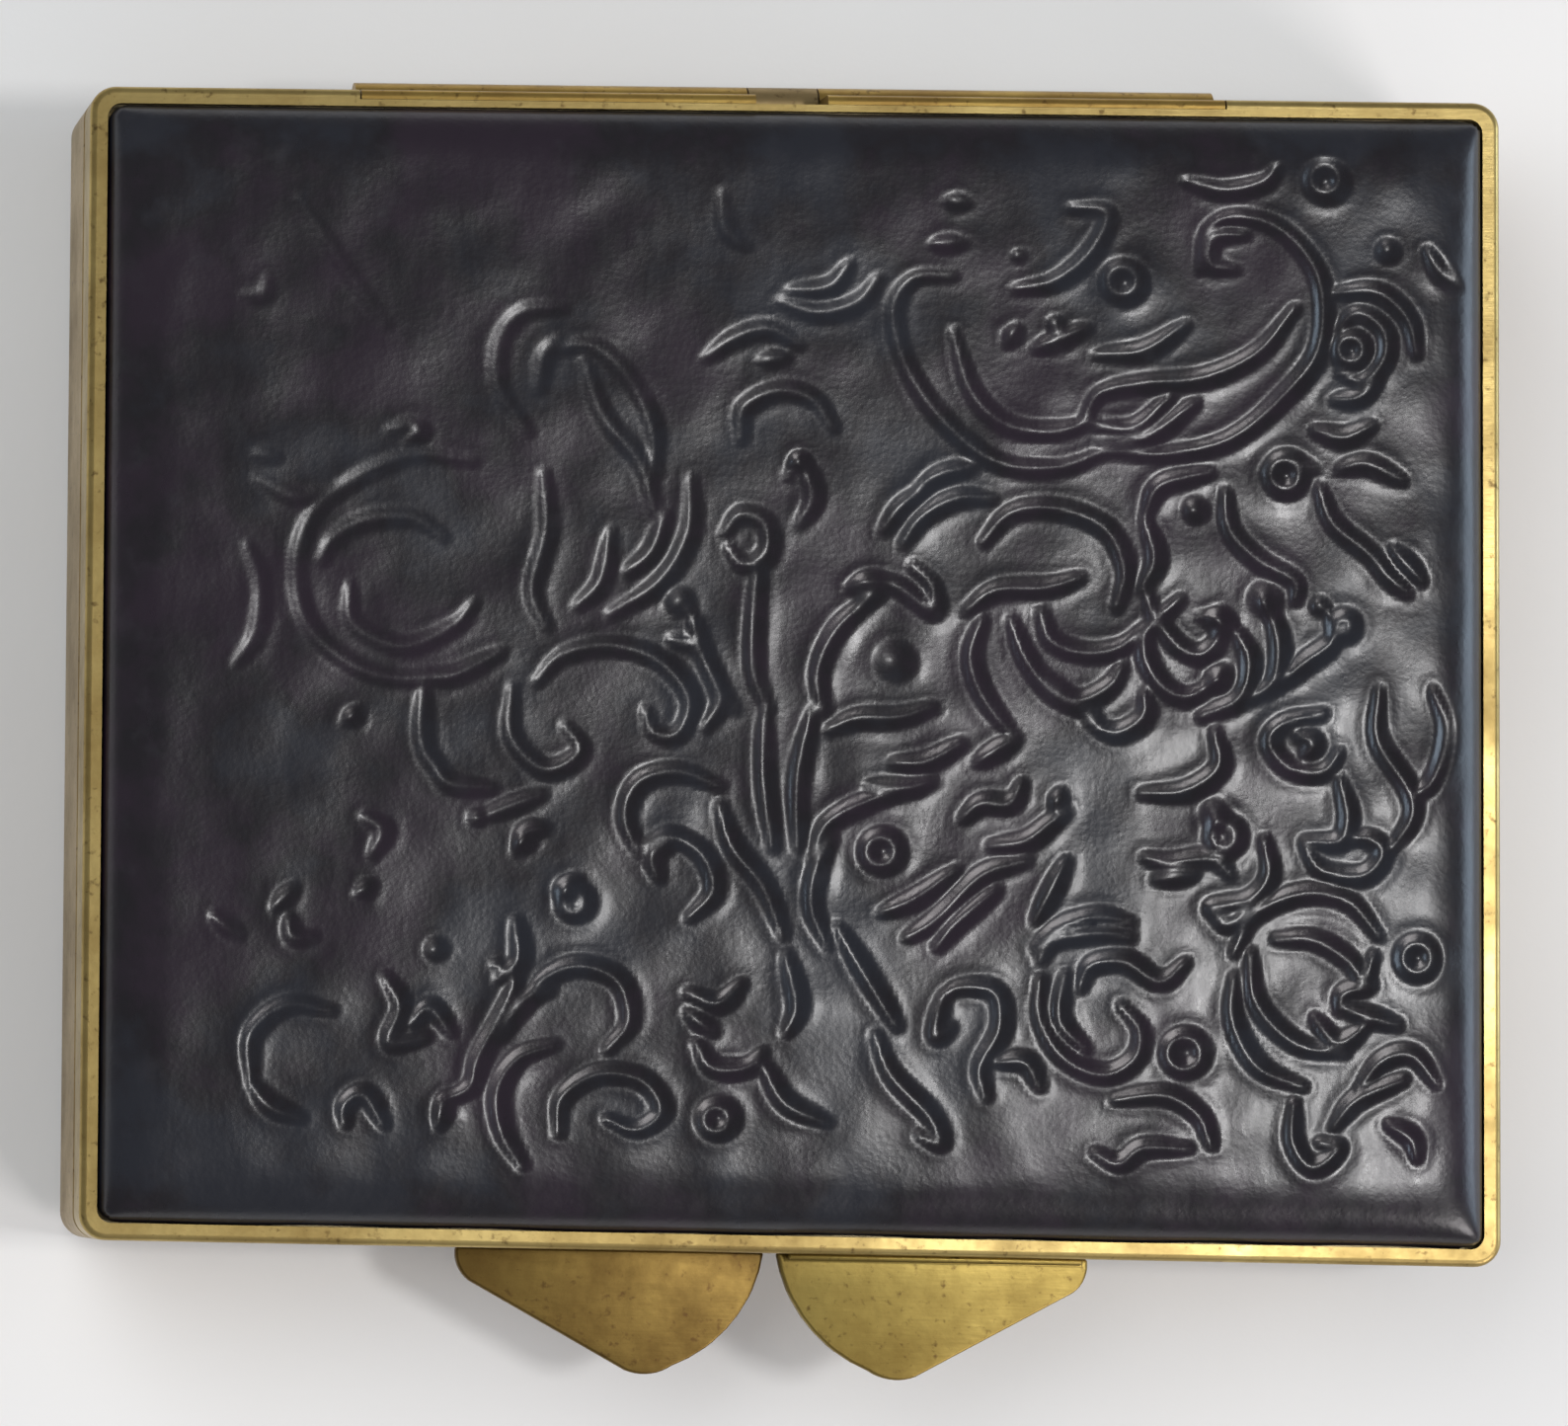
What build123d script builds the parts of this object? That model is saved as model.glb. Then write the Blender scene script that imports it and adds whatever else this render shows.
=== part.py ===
from build123d import *

import os

# A slim leather-covered vanity trinket box, closed, resting on its flat underside.
#
# Frame: +X runs along the width, +Y points to the hinge at the back, +Z is up. The origin is the
# centre of the flat underside of the base leather. All sizes are in millimetres.

# ---------------------------------------------------------------- driving sizes
case_width = 80.0
case_depth = 66.3
corner_radius = 1.5
base_bulge = 1.2  # how far the base leather stands below its frame
base_height = 8.0
parting_gap = 0.1
lid_height = 3.4
lid_bulge = 2.6  # how far the lid leather stands above its frame
lid_wall = 0.6
base_wall = 0.75
lip_width = 1.0  # the turned-in edge that grips the leather, from the outer face
lip_thickness = 0.6
rim_round = 0.4
leather_thickness = 0.5
plate_thickness = 0.5
fit_gap = 0.1

barrel_radius = 1.05
barrel_inset = 0.2  # how far the hinge axis lies inside the back face
pin_radius = 0.5
knuckle_bore_radius = 0.55
barrel_clearance = 0.15
barrel_half_length = 24.5
centre_knuckle_half = 1.95
knuckle_gap = 0.1
leaf_drop = 0.25  # from the barrel down to the top of the base leaf

# ---------------------------------------------------------------- levels
base_top = base_bulge + base_height
lid_bottom = base_top + parting_gap
lid_top = lid_bottom + lid_height
back_y = case_depth / 2
front_y = -back_y
hinge_y = back_y - barrel_inset
hinge_z = base_top + parting_gap / 2
lid_leather_z = lid_top - lip_thickness - leather_thickness
lid_plate_z = lid_leather_z - plate_thickness
base_leather_z = base_bulge + lip_thickness
base_plate_z = base_leather_z + leather_thickness
base_floor_z = base_plate_z + plate_thickness
window_radius = 0.8

os.makedirs("parts", exist_ok=True)


def save(builder: BuildPart, name: str) -> None:
    """Labels a finished piece and writes it as parts/name.step."""
    builder.part.label = name
    export_step(builder.part, f"parts/{name}.step")


def barrel_cut(half_length: float, radius: float) -> None:
    """Cuts a length of cylinder round the hinge axis out of the open builder's part."""
    with BuildSketch(Plane.YZ.offset(-half_length)) as disc:
        with Locations((hinge_y, hinge_z)):
            Circle(radius)
    extrude(disc.sketch, amount=2 * half_length, mode=Mode.SUBTRACT)


def box_cut(half_length: float, y_range: tuple, z_range: tuple) -> None:
    """Cuts a box centred on X out of the open builder's part."""
    with BuildSketch(Plane.YZ.offset(-half_length)) as section:
        with Locations(((y_range[0] + y_range[1]) / 2, (z_range[0] + z_range[1]) / 2)):
            Rectangle(y_range[1] - y_range[0], z_range[1] - z_range[0])
    extrude(section.sketch, amount=2 * half_length, mode=Mode.SUBTRACT)


# ---------------------------------------------------------------- brass frames
stop_bevel = 0.32  # bevel at the back edges that meets when the lid is fully open
notch_half_length = barrel_half_length + 0.1

with BuildPart() as lid_frame:
    with BuildSketch(Plane.XY.offset(lid_bottom)):
        RectangleRounded(case_width, case_depth, corner_radius)
    extrude(amount=lid_height)
    fillet(lid_frame.faces().sort_by(Axis.Z)[-1].edges(), rim_round)
    chamfer(lid_frame.faces().sort_by(Axis.Z)[0].edges().sort_by(Axis.Y)[-1], stop_bevel)
    with BuildSketch(Plane.XY.offset(lid_bottom)):
        RectangleRounded(case_width - 2 * lid_wall, case_depth - 2 * lid_wall, corner_radius - lid_wall)
    extrude(amount=lid_height - lip_thickness, mode=Mode.SUBTRACT)
    with BuildSketch(Plane.XY.offset(lid_top)):
        RectangleRounded(case_width - 2 * lip_width, case_depth - 2 * lip_width, window_radius)
    extrude(amount=-lip_thickness, mode=Mode.SUBTRACT)
    box_cut(notch_half_length, (back_y - lid_wall, back_y + 1), (lid_bottom - 1, lid_top + 1))
    barrel_cut(notch_half_length, barrel_radius + barrel_clearance)
save(lid_frame, "lid_frame")

with BuildPart() as base_frame:
    with BuildSketch(Plane.XY.offset(base_bulge)):
        RectangleRounded(case_width, case_depth, corner_radius)
    extrude(amount=base_height)
    fillet(base_frame.faces().sort_by(Axis.Z)[0].edges(), rim_round)
    chamfer(base_frame.faces().sort_by(Axis.Z)[-1].edges().sort_by(Axis.Y)[-1], stop_bevel)
    with BuildSketch(Plane.XY.offset(base_top)):
        RectangleRounded(case_width - 2 * base_wall, case_depth - 2 * base_wall, corner_radius - base_wall)
    extrude(amount=-(base_height - lip_thickness), mode=Mode.SUBTRACT)
    with BuildSketch(Plane.XY.offset(base_bulge)):
        RectangleRounded(case_width - 2 * lip_width, case_depth - 2 * lip_width, window_radius)
    extrude(amount=lip_thickness, mode=Mode.SUBTRACT)
    barrel_cut(notch_half_length, barrel_radius + barrel_clearance)
    box_cut(centre_knuckle_half + 0.05, (back_y - 1, back_y + 1), (hinge_z - 2.2, hinge_z))
save(base_frame, "base_frame")

# ---------------------------------------------------------------- leather panels and what fills them
lid_panel = (case_width - 2 * lid_wall - fit_gap, case_depth - 2 * lid_wall - fit_gap)
base_panel = (case_width - 2 * base_wall - fit_gap, case_depth - 2 * base_wall - fit_gap)
panel_radius = 1.0
dome_width = case_width - 2 * lip_width - 2 * fit_gap
dome_depth = case_depth - 2 * lip_width - 2 * fit_gap
lid_dome_round = 2.4
base_dome_round = 1.1
wadding_play = 0.5  # how far the loose filling stays clear of the leather


def dome(inset: float, start: float, height: float, rounding: float) -> None:
    """Adds a cushion-shaped block from the level start, up or down by height, its far edge rolled over."""
    with BuildSketch(Plane.XY.offset(start)) as outline:
        RectangleRounded(dome_width - 2 * inset, dome_depth - 2 * inset, window_radius - inset / 4)
    extrude(outline.sketch, amount=height)
    last = -1 if height > 0 else 0
    fillet(faces().sort_by(Axis.Z)[last].edges(), rounding)


def slab(size: tuple, radius: float, start: float, thickness: float) -> None:
    """Adds a flat plate with rounded corners from the level start."""
    with BuildSketch(Plane.XY.offset(start)) as outline:
        RectangleRounded(size[0], size[1], radius)
    extrude(outline.sketch, amount=thickness)


def wadding(inset: float, start: float, height: float, rounding: float) -> BuildPart:
    """The filling of a leather dome, smaller all round by inset."""
    with BuildPart() as filling:
        dome(inset, start, height, rounding)
    return filling


lid_wadding_height = lid_top + lid_bulge - leather_thickness - lid_leather_z
base_wadding_height = base_plate_z - leather_thickness

with BuildPart() as lid_leather:
    dome(0, lid_leather_z, lid_top + lid_bulge - lid_leather_z, lid_dome_round)
    slab(lid_panel, panel_radius, lid_leather_z, leather_thickness)
    cavity = wadding(leather_thickness, lid_leather_z, lid_wadding_height, lid_dome_round - 0.3)
    add(cavity.part, mode=Mode.SUBTRACT)
save(lid_leather, "lid_leather")

lid_padding = wadding(
    3 * wadding_play, lid_leather_z, lid_wadding_height - wadding_play, lid_dome_round - 0.3
)
save(lid_padding, "lid_padding")

with BuildPart() as lid_core_plate:
    slab(lid_panel, panel_radius, lid_plate_z, plate_thickness)
save(lid_core_plate, "lid_core_plate")

with BuildPart() as base_leather:
    dome(0, base_plate_z, -base_plate_z, base_dome_round)
    slab(base_panel, panel_radius, base_leather_z, leather_thickness)
    cavity = wadding(leather_thickness, base_plate_z, -base_wadding_height, base_dome_round - 0.3)
    add(cavity.part, mode=Mode.SUBTRACT)
save(base_leather, "base_leather")

base_padding = wadding(
    3 * wadding_play, base_plate_z, wadding_play - base_wadding_height, base_dome_round - 0.3
)
save(base_padding, "base_padding")

with BuildPart() as base_core_plate:
    slab(base_panel, panel_radius, base_plate_z, plate_thickness)
save(base_core_plate, "base_core_plate")

# ---------------------------------------------------------------- hinge
leaf_thickness = 0.4
leaf_half_width = 10.0
leaf_height = 4.0
neck_height = 2.0


def knuckle_tube(x_start: float, length: float, bore: float) -> None:
    """Adds one length of hinge barrel to the open builder's part and bores it."""
    for radius, mode in ((barrel_radius, Mode.ADD), (bore, Mode.SUBTRACT)):
        with BuildSketch(Plane.YZ.offset(x_start)) as ring:
            with Locations((hinge_y, hinge_z)):
                Circle(radius)
        extrude(ring.sketch, amount=length, mode=mode)


knuckle_length = barrel_half_length - centre_knuckle_half - knuckle_gap
for side, x_start in (("left", -barrel_half_length), ("right", centre_knuckle_half + knuckle_gap)):
    with BuildPart() as lid_knuckle:
        with BuildSketch(Plane.YZ.offset(x_start)):
            with Locations((back_y - lid_wall / 2 + 0.01, (hinge_z + 0.7 + lid_top) / 2)):
                Rectangle(lid_wall - 0.02, lid_top - hinge_z - 0.7)
        extrude(amount=knuckle_length)
        top_edges = lid_knuckle.edges().filter_by(Axis.X).group_by(Axis.Z)[-1]
        fillet(top_edges.sort_by(Axis.Y)[-1], rim_round)
        knuckle_tube(x_start, knuckle_length, knuckle_bore_radius)
    save(lid_knuckle, f"lid_hinge_knuckle_{side}")

with BuildPart() as base_knuckle:
    leaf_back = back_y - base_wall
    leaf_top = hinge_z - barrel_radius - leaf_drop
    with BuildSketch(Plane.XZ.offset(-leaf_back)):
        with Locations((0, leaf_top - leaf_height / 2)):
            Rectangle(2 * leaf_half_width, leaf_height)
    extrude(amount=leaf_thickness)
    with BuildSketch(Plane.XZ.offset(-back_y)):
        with Locations((0, hinge_z - neck_height / 2)):
            Rectangle(2 * centre_knuckle_half, neck_height)
    extrude(amount=base_wall + leaf_thickness)
    knuckle_tube(-centre_knuckle_half, 2 * centre_knuckle_half, pin_radius)
save(base_knuckle, "base_hinge_knuckle")

pin_half_length = barrel_half_length + 0.05
with BuildPart() as hinge_pin:
    with BuildSketch(Plane.YZ.offset(-pin_half_length)):
        with Locations((hinge_y, hinge_z)):
            Circle(pin_radius)
    extrude(amount=2 * pin_half_length)
save(hinge_pin, "hinge_pin")

# ---------------------------------------------------------------- thumb tabs
tab_thickness = 0.7
tab_flange_height = 1.4
tab_flange_thickness = 0.35
tab_centre_x = -0.35
lid_tab_z = lid_bottom + 0.5
base_tab_z = base_top - 0.4 - tab_thickness


def thumb_tab(hand: int, plate_z: float, flange_z: float) -> BuildPart:
    """One wing-shaped tab with the flange that is soldered to the front wall.

    hand is 1 for the tab right of centre and -1 for the tab left of it. flange_z is its lower edge.
    """
    def spot(across: float, out: float) -> tuple:
        return (tab_centre_x + hand * across, front_y - out)

    with BuildPart() as tab:
        with BuildSketch(Plane.XY.offset(plate_z)):
            with BuildLine():
                ThreePointArc(spot(0.2, 0), spot(2.0, 4.1), spot(5.4, 6.6))
                ThreePointArc(spot(5.4, 6.6), spot(7.0, 7.1), spot(8.6, 6.6))
                Line(spot(8.6, 6.6), spot(16.7, 2.1))
                ThreePointArc(spot(16.7, 2.1), spot(17.5, 1.3), spot(17.7, 0))
                Line(spot(17.7, 0), spot(0.2, 0))
            make_face()
        extrude(amount=tab_thickness)
        with BuildSketch(Plane.XY.offset(flange_z)):
            with Locations(spot(9.0, tab_flange_thickness / 2)):
                Rectangle(16.6, tab_flange_thickness)
        extrude(amount=tab_flange_height)
    return tab


save(thumb_tab(1, lid_tab_z, lid_tab_z), "lid_thumb_tab")
save(thumb_tab(-1, base_tab_z, base_tab_z + tab_thickness - tab_flange_height), "base_thumb_tab")

# ---------------------------------------------------------------- tray
collar_thickness = 0.4
collar_top = base_top + 0.8
collar_back_y = 27.5
catch_gap_half = 6.0
catch_gap_z = 6.4
inner_size = (case_width - 2 * base_wall, case_depth - 2 * base_wall)
lining_thickness = 0.7
lining_back_y = back_y - 1.75
board_thickness = 0.6
carpet_thickness = 0.8
lining_top = base_top - 0.3

with BuildPart() as tray_collar:
    slab(inner_size, corner_radius - base_wall, base_floor_z, collar_top - base_floor_z)
    with BuildSketch(Plane.XY.offset(base_floor_z)):
        Rectangle(inner_size[0] - 2 * collar_thickness, inner_size[1] - 2 * collar_thickness)
    extrude(amount=collar_top - base_floor_z, mode=Mode.SUBTRACT)
    box_cut(case_width, (collar_back_y, back_y + 1), (base_floor_z - 1, collar_top + 1))
    box_cut(catch_gap_half, (front_y - 1, front_y + 2), (catch_gap_z, collar_top + 1))
save(tray_collar, "tray_collar")

tray_front_y = front_y + base_wall + collar_thickness
tray_half_width = inner_size[0] / 2 - collar_thickness
tray_centre_y = (tray_front_y + lining_back_y) / 2
tray_size = (2 * tray_half_width, lining_back_y - tray_front_y)


def tray_block(inset: float, start: float, thickness: float, mode: Mode = Mode.ADD) -> None:
    """Adds or cuts a block that fills the tray, smaller all round by inset."""
    with BuildSketch(Plane.XY.offset(start)) as outline:
        with Locations((0, tray_centre_y)):
            Rectangle(tray_size[0] - 2 * inset, tray_size[1] - 2 * inset)
    extrude(outline.sketch, amount=thickness, mode=mode)


with BuildPart() as tray_floor_board:
    tray_block(0.02, base_floor_z, board_thickness)
save(tray_floor_board, "tray_floor_board")

carpet_z = base_floor_z + board_thickness
with BuildPart() as floor_lining:
    tray_block(lining_thickness + 0.02, carpet_z, carpet_thickness)
save(floor_lining, "floor_lining")

with BuildPart() as wall_lining:
    tray_block(0.02, carpet_z, lining_top - carpet_z)
    tray_block(lining_thickness, carpet_z, lining_top - carpet_z, Mode.SUBTRACT)
    box_cut(catch_gap_half + 0.4, (front_y, tray_front_y + 2), (carpet_z + 1.0, lining_top + 1))
save(wall_lining, "wall_lining")

# ---------------------------------------------------------------- catch
hook_half_width = 2.5
hook_thickness = 0.4
hook_stem_y = front_y + base_wall + 0.15
hook_foot_z = 7.2
spring_half_width = 4.5
spring_thickness = 0.3
spring_leaf_y = front_y + 1.95
spring_top_z = 8.7
spring_foot_z = 4.9
spring_foot_height = 1.1  # the upright foot, below the slope that leads to the leaf
spring_slope_rise = 0.6
spring_bend_drop = 0.2  # how much lower the inner side of each bend lies
bump_z = 8.15
bump_radius = 0.3
bump_depth = 0.1
nose_radius = 0.2
nose_rise = 0.3
rivet_radius = 0.4
rivet_spread = 3.2
rivet_rise = 0.45
rivet_height = 0.25

with BuildPart() as lid_catch_hook:
    with BuildSketch(Plane.YZ.offset(-hook_half_width)):
        with BuildLine():
            Polyline(
                (front_y + lid_wall, lid_bottom + 0.2),
                (front_y + lid_wall, lid_plate_z),
                (front_y + lid_wall + hook_thickness, lid_plate_z),
                (front_y + lid_wall + hook_thickness, lid_bottom + 0.8),
                (hook_stem_y + hook_thickness, lid_bottom + 0.5),
                (hook_stem_y + hook_thickness, hook_foot_z),
                (hook_stem_y, hook_foot_z),
                (hook_stem_y, lid_bottom + 0.2),
                close=True,
            )
        make_face()
        with Locations((hook_stem_y + hook_thickness, hook_foot_z + nose_rise)):
            Circle(nose_radius)
    extrude(amount=2 * hook_half_width)
save(lid_catch_hook, "lid_catch_hook")

foot_y = tray_front_y
slope_z = spring_foot_z + spring_foot_height
leaf_z = slope_z + spring_slope_rise
with BuildPart() as catch_spring:
    with BuildSketch(Plane.YZ.offset(-spring_half_width)):
        with BuildLine():
            Polyline(
                (foot_y, spring_foot_z),
                (foot_y, slope_z),
                (spring_leaf_y, leaf_z),
                (spring_leaf_y, spring_top_z),
                (spring_leaf_y + spring_thickness, spring_top_z),
                (spring_leaf_y + spring_thickness, leaf_z - spring_bend_drop),
                (foot_y + spring_thickness, slope_z - spring_bend_drop),
                (foot_y + spring_thickness, spring_foot_z),
                close=True,
            )
        make_face()
        with Locations((spring_leaf_y + bump_depth, bump_z)):
            Circle(bump_radius)
    extrude(amount=2 * spring_half_width)
save(catch_spring, "catch_spring")

with BuildPart() as catch_rivets:
    with BuildSketch(Plane.XZ.offset(-(foot_y + spring_thickness + rivet_height))):
        rivet_z = spring_foot_z + rivet_rise
        with Locations((-rivet_spread, rivet_z), (rivet_spread, rivet_z)):
            Circle(rivet_radius)
    extrude(amount=rivet_height)
save(catch_rivets, "catch_rivets")

# ---------------------------------------------------------------- mirror
mirror_centre_y = -0.5
mirror_size = (75.2, 59.6)
mirror_thickness = 1.1
backing_thickness = 0.3
retainer_wall = 0.5
retainer_lip = 0.9
retainer_gap = 0.05
retainer_thickness = 0.25
mirror_z = lid_plate_z - backing_thickness - mirror_thickness


def mirror_block(grow: float, start: float, thickness: float, mode: Mode = Mode.ADD) -> None:
    """Adds or cuts a block centred on the mirror, larger than it all round by grow."""
    with BuildSketch(Plane.XY.offset(start)) as outline:
        with Locations((0, mirror_centre_y)):
            Rectangle(mirror_size[0] + 2 * grow, mirror_size[1] + 2 * grow)
    extrude(outline.sketch, amount=thickness, mode=mode)


with BuildPart() as lid_backing_board:
    mirror_block(0, lid_plate_z - backing_thickness, backing_thickness)
save(lid_backing_board, "lid_backing_board")

with BuildPart() as lid_mirror:
    mirror_block(0, mirror_z, mirror_thickness)
save(lid_mirror, "lid_mirror")

with BuildPart() as mirror_frame:
    retainer_z = mirror_z - retainer_thickness
    mirror_block(retainer_gap + retainer_wall, retainer_z, lid_plate_z - retainer_z)
    mirror_block(retainer_gap, mirror_z, lid_plate_z - mirror_z, Mode.SUBTRACT)
    mirror_block(-retainer_lip, retainer_z, retainer_thickness, Mode.SUBTRACT)
save(mirror_frame, "mirror_frame")
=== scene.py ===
"""Looks of a slim vanity trinket box: embossed leather in an aged brass frame, with a lined tray inside.

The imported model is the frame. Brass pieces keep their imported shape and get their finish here. The two
leather panels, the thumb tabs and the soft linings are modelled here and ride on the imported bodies.
Lengths in the code are in metres; design sizes are written in millimetres and scaled by MM.
"""

import logging
import math
from dataclasses import dataclass, field
from enum import Enum

import bpy
import numpy as np
from mathutils import Matrix, Vector, noise

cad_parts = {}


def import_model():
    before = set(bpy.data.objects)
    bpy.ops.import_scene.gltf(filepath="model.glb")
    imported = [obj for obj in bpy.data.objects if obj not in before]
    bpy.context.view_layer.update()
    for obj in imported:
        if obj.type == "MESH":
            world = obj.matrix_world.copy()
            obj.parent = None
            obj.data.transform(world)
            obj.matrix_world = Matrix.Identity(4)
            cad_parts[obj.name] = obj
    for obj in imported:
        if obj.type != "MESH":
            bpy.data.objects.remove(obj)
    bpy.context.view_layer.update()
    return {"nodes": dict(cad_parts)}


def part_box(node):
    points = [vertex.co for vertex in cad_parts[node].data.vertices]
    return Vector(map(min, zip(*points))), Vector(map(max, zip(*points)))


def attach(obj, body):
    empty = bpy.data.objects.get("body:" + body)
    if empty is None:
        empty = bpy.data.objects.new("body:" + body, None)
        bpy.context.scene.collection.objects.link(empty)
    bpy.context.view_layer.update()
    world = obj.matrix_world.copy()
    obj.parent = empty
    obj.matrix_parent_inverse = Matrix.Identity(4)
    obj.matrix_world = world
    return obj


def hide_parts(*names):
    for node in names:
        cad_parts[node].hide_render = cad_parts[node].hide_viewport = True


MM = 0.001
PANEL_HALF_WIDTH = 38.92
PANEL_HALF_DEPTH = 32.07
MERGE_GAP = 0.002 * MM
FLAT_ANGLE = math.radians(4)
EDGE_ANGLE = math.radians(40)
ROUNDING_SEGMENTS = 4
Colour = tuple[float, float, float]
Point = tuple[float, float]

log = logging.getLogger("trinket_box")


class Tone(Enum):
    """Named shades of the old brass, as a worn colour and a tarnished colour; the base tab's pair is the
    same brass darkened with painted shade.
    """

    RIM = ((0.45, 0.34, 0.130), (0.24, 0.165, 0.055))
    BARREL = ((0.46, 0.31, 0.085), (0.25, 0.145, 0.040))
    LID_TAB = ((0.29, 0.215, 0.060), (0.18, 0.120, 0.030))
    # The base tab's colours: the lid tab's brass darkened further, as painted shade for the tab that faces
    # away from the light.
    BASE_TAB_PAINTED_SHADE = ((0.19, 0.125, 0.034), (0.10, 0.058, 0.015))
    WALL = ((0.42, 0.31, 0.15), (0.24, 0.17, 0.08))


# ---------------------------------------------------------------- finishes
class Surface:
    """A material under construction, with short calls for the nodes that every finish uses."""

    def __init__(self, name: str) -> None:
        """Starts an empty material with a shader.

        Args:
            name: The material's name.
        """
        self.material = bpy.data.materials.new(name)
        self.material.use_nodes = True
        self.tree = self.material.node_tree
        self.shader = self.tree.nodes["Principled BSDF"]
        self.place = self.tree.nodes.new("ShaderNodeTexCoord")

    def set(self, **sockets: float) -> None:
        """Sets plain numbers on the shader's sockets, an underscore standing for a space."""
        for key, value in sockets.items():
            self.shader.inputs[key.replace("_", " ")].default_value = value

    def mapping(self, scale: tuple[float, float, float]) -> bpy.types.NodeSocket:
        """Stretches Object coordinates by scale and returns them."""
        node = self.tree.nodes.new("ShaderNodeMapping")
        node.inputs["Scale"].default_value = scale
        self.tree.links.new(self.place.outputs["Object"], node.inputs["Vector"])
        return node.outputs["Vector"]

    def noise(self, size: float, detail: float = 4.0, stretch: tuple[float, float, float] = (1, 1, 1),
              roughness: float = 0.55) -> bpy.types.NodeSocket:
        """Adds a noise whose blobs are about size metres across.

        Args:
            size: Size of the largest blobs.
            detail: Number of finer layers.
            stretch: Scale along X, Y and Z; below 1 draws the noise out into lines.
            roughness: Strength of the finer layers.

        Returns:
            The noise's value socket.
        """
        node = self.tree.nodes.new("ShaderNodeTexNoise")
        node.inputs["Scale"].default_value = 1 / size
        node.inputs["Detail"].default_value = detail
        node.inputs["Roughness"].default_value = roughness
        self.tree.links.new(self.mapping(stretch), node.inputs["Vector"])
        return node.outputs["Fac"]

    def cells(self, size: float) -> bpy.types.NodeSocket:
        """Adds cells about size metres across, such as hide grain, and returns their distance socket."""
        node = self.tree.nodes.new("ShaderNodeTexVoronoi")
        node.inputs["Scale"].default_value = 1 / size
        self.tree.links.new(self.mapping((1, 1, 1)), node.inputs["Vector"])
        return node.outputs["Distance"]

    def ramp(self, source: bpy.types.NodeSocket, stops: list[tuple[float, Colour]]) -> bpy.types.NodeSocket:
        """Turns a value into colours by a list of (position, colour) stops."""
        node = self.tree.nodes.new("ShaderNodeValToRGB")
        elements = node.color_ramp.elements
        while len(elements) < len(stops):
            elements.new(0.5)
        for element, (position, colour) in zip(elements, stops):
            element.position = position
            element.color = (*colour, 1.0)
        self.tree.links.new(source, node.inputs["Fac"])
        return node.outputs["Color"]

    def spread(self, source: bpy.types.NodeSocket, low: float, high: float) -> bpy.types.NodeSocket:
        """Maps the middle of a noise's range to low and high."""
        node = self.tree.nodes.new("ShaderNodeMapRange")
        node.inputs["From Min"].default_value = 0.3
        node.inputs["From Max"].default_value = 0.7
        node.inputs["To Min"].default_value = low
        node.inputs["To Max"].default_value = high
        self.tree.links.new(source, node.inputs["Value"])
        return node.outputs["Result"]

    def mix(self, factor: bpy.types.NodeSocket, first: bpy.types.NodeSocket,
            second: Colour) -> bpy.types.NodeSocket:
        """Mixes a colour socket towards a plain colour by factor."""
        node = self.tree.nodes.new("ShaderNodeMix")
        node.data_type = "RGBA"
        self.tree.links.new(factor, node.inputs[0])
        self.tree.links.new(first, node.inputs[6])
        node.inputs[7].default_value = (*second, 1.0)
        return node.outputs[2]

    def bump(self, layers: list[tuple[bpy.types.NodeSocket, float, float]]) -> None:
        """Chains bump layers of (height, strength, distance) into the shader's normal."""
        last = None
        for height, strength, distance in layers:
            node = self.tree.nodes.new("ShaderNodeBump")
            node.inputs["Strength"].default_value = strength
            node.inputs["Distance"].default_value = distance
            self.tree.links.new(height, node.inputs["Height"])
            if last is not None:
                self.tree.links.new(last, node.inputs["Normal"])
            last = node.outputs["Normal"]
        self.tree.links.new(last, self.shader.inputs["Normal"])

    def drive(self, socket: str, source: bpy.types.NodeSocket) -> None:
        """Links a socket of the shader to a source."""
        self.tree.links.new(source, self.shader.inputs[socket])


@dataclass(frozen=True)
class AgedBrass:
    """Old brass: worn gold on the high spots, brown tarnish between, fine rubbing lines."""

    tone: Tone
    roughness: float = 0.30
    line_stretch: tuple[float, float, float] = (0.08, 1.0, 1.0)

    def build(self) -> bpy.types.Material:
        """Makes the material."""
        surface = Surface(f"aged_brass_{self.tone.name.lower()}")
        worn, tarnished = self.tone.value
        middle = tuple((a + b) / 2 for a, b in zip(worn, tarnished))
        clouds = surface.noise(6 * MM, 6.0, roughness=0.65)
        colour = surface.ramp(clouds, [(0.28, tarnished), (0.46, middle), (0.62, worn)])
        specks = surface.ramp(surface.noise(0.5 * MM, 3.0), [(0.60, (0, 0, 0)), (0.74, (0.7, 0.7, 0.7))])
        surface.drive("Base Color", surface.mix(specks, colour, (0.07, 0.035, 0.012)))
        surface.set(Metallic=0.92)
        surface.drive("Roughness", surface.spread(clouds, self.roughness + 0.14, self.roughness))
        lines = surface.noise(0.18 * MM, 3.0, self.line_stretch)
        pits = surface.noise(1.1 * MM, 4.0)
        surface.bump([(lines, 0.16, 0.03 * MM), (pits, 0.22, 0.06 * MM)])
        return surface.material


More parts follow.
